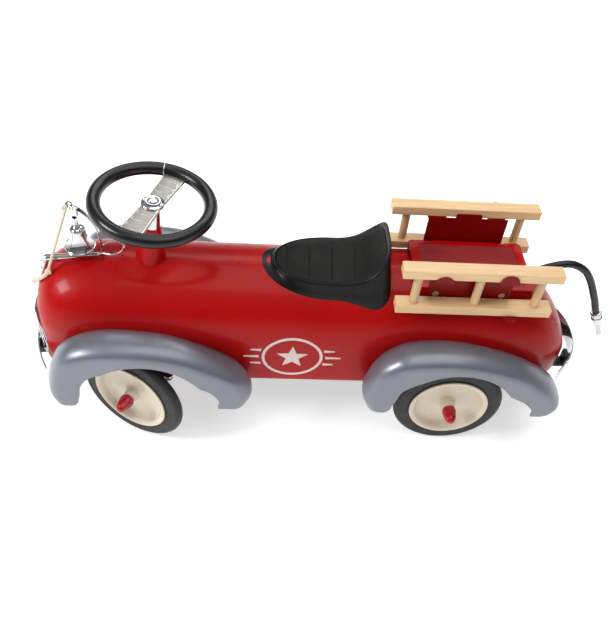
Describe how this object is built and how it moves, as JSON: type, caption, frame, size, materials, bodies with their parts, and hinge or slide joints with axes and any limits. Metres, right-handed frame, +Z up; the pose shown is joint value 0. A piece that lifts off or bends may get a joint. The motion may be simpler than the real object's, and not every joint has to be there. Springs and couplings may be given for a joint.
{
  "type": "toy fire engine",
  "caption": "Ride-on toy fire engine: pressed body with fenders, column steering, spinning wheels, lift-off ladders, lidded box, hose and swinging bell.",
  "frame": {"origin": "on the ground under the middle of the object's length and width", "axes": "+X towards the nose, +Y to the object's left, +Z up"},
  "size_m": [0.8598, 0.3, 0.3543],
  "materials": {
    "red_paint": "high-gloss enamel",
    "fender_paint": "metallic blue-grey lacquer",
    "chassis_steel": "satin black",
    "chrome": "polished",
    "brushed_spoke": "satin, with raised lines",
    "seat_vinyl": "fine grain, semi-matte",
    "black_rim": "gloss",
    "hose_rubber": "matte",
    "rope_cotton": "twisted cotton",
    "emblem_print": "semi-gloss",
    "tyre_rubber": "matte",
    "cream_paint": "gloss enamel",
    "beech": "clear lacquered, straight grain"
  },
  "bodies": {
    "body": {"body_shell": "red_paint", "floor_pan": "chassis_steel", "grille": "chrome", "front_bumper": "chrome", "rear_bumper": "chrome", "bumper_overriders": "chrome", "bumper_brackets": "chassis_steel", "front_left_fender": "fender_paint", "front_right_fender": "fender_paint", "rear_left_fender": "fender_paint", "rear_right_fender": "fender_paint", "column_housing": "red_paint", "column_bracket": "chassis_steel", "front_axle_beam": "chassis_steel", "kingpins": "chrome", "rear_axle": "chrome", "rear_axle_saddles": "chassis_steel", "seat": "seat_vinyl", "seat_bolts": "chrome", "seat_tie_rod": "chrome", "side_emblems": "emblem_print", "hose_box": "red_paint", "ladder_brackets": "red_paint", "bracket_bolts": "chrome", "lid_hinge_pin": "chrome", "hose_socket": "chassis_steel", "bell_base": "chrome", "bell_hanger": "chrome", "bell_wire_loop": "chrome", "bell_rope": "rope_cotton", "bell_rope_knots": "rope_cotton", "hose": "hose_rubber", "hose_ferrule": "chrome", "hose_nozzle": "chrome"},
    "lid": {"box_lid": "red_paint"},
    "steering": {"steering_column": "chrome", "steering_wheel_rim": "black_rim", "steering_spoke": "brushed_spoke", "steering_hub_nut": "chrome"},
    "left_knuckle": {"left_knuckle": "chassis_steel"},
    "right_knuckle": {"right_knuckle": "chassis_steel"},
    "tie_rod": {"tie_rod": "chrome"},
    "front_left_wheel": {"front_left_tyre": "tyre_rubber", "front_left_wheel_disc": "cream_paint", "front_left_hub_cap": "red_paint"},
    "front_right_wheel": {"front_right_tyre": "tyre_rubber", "front_right_wheel_disc": "cream_paint", "front_right_hub_cap": "red_paint"},
    "rear_left_wheel": {"rear_left_tyre": "tyre_rubber", "rear_left_wheel_disc": "cream_paint", "rear_left_hub_cap": "red_paint"},
    "rear_right_wheel": {"rear_right_tyre": "tyre_rubber", "rear_right_wheel_disc": "cream_paint", "rear_right_hub_cap": "red_paint"},
    "left_ladder": {"left_ladder_rails": "beech", "left_ladder_rungs": "beech"},
    "right_ladder": {"right_ladder_rails": "beech", "right_ladder_rungs": "beech"},
    "bell": {"bell": "chrome"},
    "clapper": {"bell_clapper": "chrome"}
  },
  "joints": [
    {"name": "steering_turn", "type": "hinge", "parent": "body", "child": "steering", "pos_m": [0.2259, 0, 0.3388], "axis": [-0.0872, 0, 0.9962], "range_deg": [-3, 57]},
    {"name": "left_knuckle_turn", "type": "hinge", "parent": "body", "child": "left_knuckle", "pos_m": [0.239, 0.071, 0.08], "axis": [0, 0, 1], "range_deg": [-3, 57]},
    {"name": "right_knuckle_turn", "type": "hinge", "parent": "body", "child": "right_knuckle", "pos_m": [0.239, -0.071, 0.08], "axis": [0, 0, 1], "range_deg": [-3, 57]},
    {"name": "tie_rod_turn", "type": "hinge", "parent": "left_knuckle", "child": "tie_rod", "pos_m": [0.21049, 0.08553, 0.0942], "axis": [0, 0, 1], "range_deg": [-57, 3]},
    {"name": "front_left_wheel_spin", "type": "hinge", "parent": "left_knuckle", "child": "front_left_wheel", "pos_m": [0.239, 0.071, 0.08], "axis": [0.454, 0.891, 0], "continuous": true},
    {"name": "front_right_wheel_spin", "type": "hinge", "parent": "right_knuckle", "child": "front_right_wheel", "pos_m": [0.239, -0.071, 0.08], "axis": [0.454, 0.891, 0], "continuous": true},
    {"name": "rear_left_wheel_spin", "type": "hinge", "parent": "body", "child": "rear_left_wheel", "pos_m": [-0.198, 0.111, 0.08], "axis": [0, 1, 0], "continuous": true},
    {"name": "rear_right_wheel_spin", "type": "hinge", "parent": "body", "child": "rear_right_wheel", "pos_m": [-0.198, -0.111, 0.08], "axis": [0, 1, 0], "continuous": true},
    {"name": "lid_open", "type": "hinge", "parent": "body", "child": "lid", "pos_m": [-0.212, -0.046, 0.25065], "axis": [1, 0, 0], "range_deg": [0, 90]},
    {"name": "left_ladder_lift", "type": "slide", "parent": "body", "child": "left_ladder", "axis": [0, 0, 1], "range_m": [0, 0.03]},
    {"name": "right_ladder_lift", "type": "slide", "parent": "body", "child": "right_ladder", "axis": [0, 0, 1], "range_m": [0, 0.03]},
    {"name": "bell_swing", "type": "hinge", "parent": "body", "child": "bell", "pos_m": [0.328, 0, 0.311], "axis": [0, 1, 0], "range_deg": [-8, 4.5]},
    {"name": "clapper_swing", "type": "hinge", "parent": "bell", "child": "clapper", "pos_m": [0.328, 0, 0.289], "axis": [0, 1, 0], "range_deg": [-14, 14]}
  ],
  "couplings": [
    {"joint": "left_knuckle_turn", "follows": "steering_turn", "ratio": 1},
    {"joint": "right_knuckle_turn", "follows": "steering_turn", "ratio": 1},
    {"joint": "tie_rod_turn", "follows": "steering_turn", "ratio": -1}
  ]
}
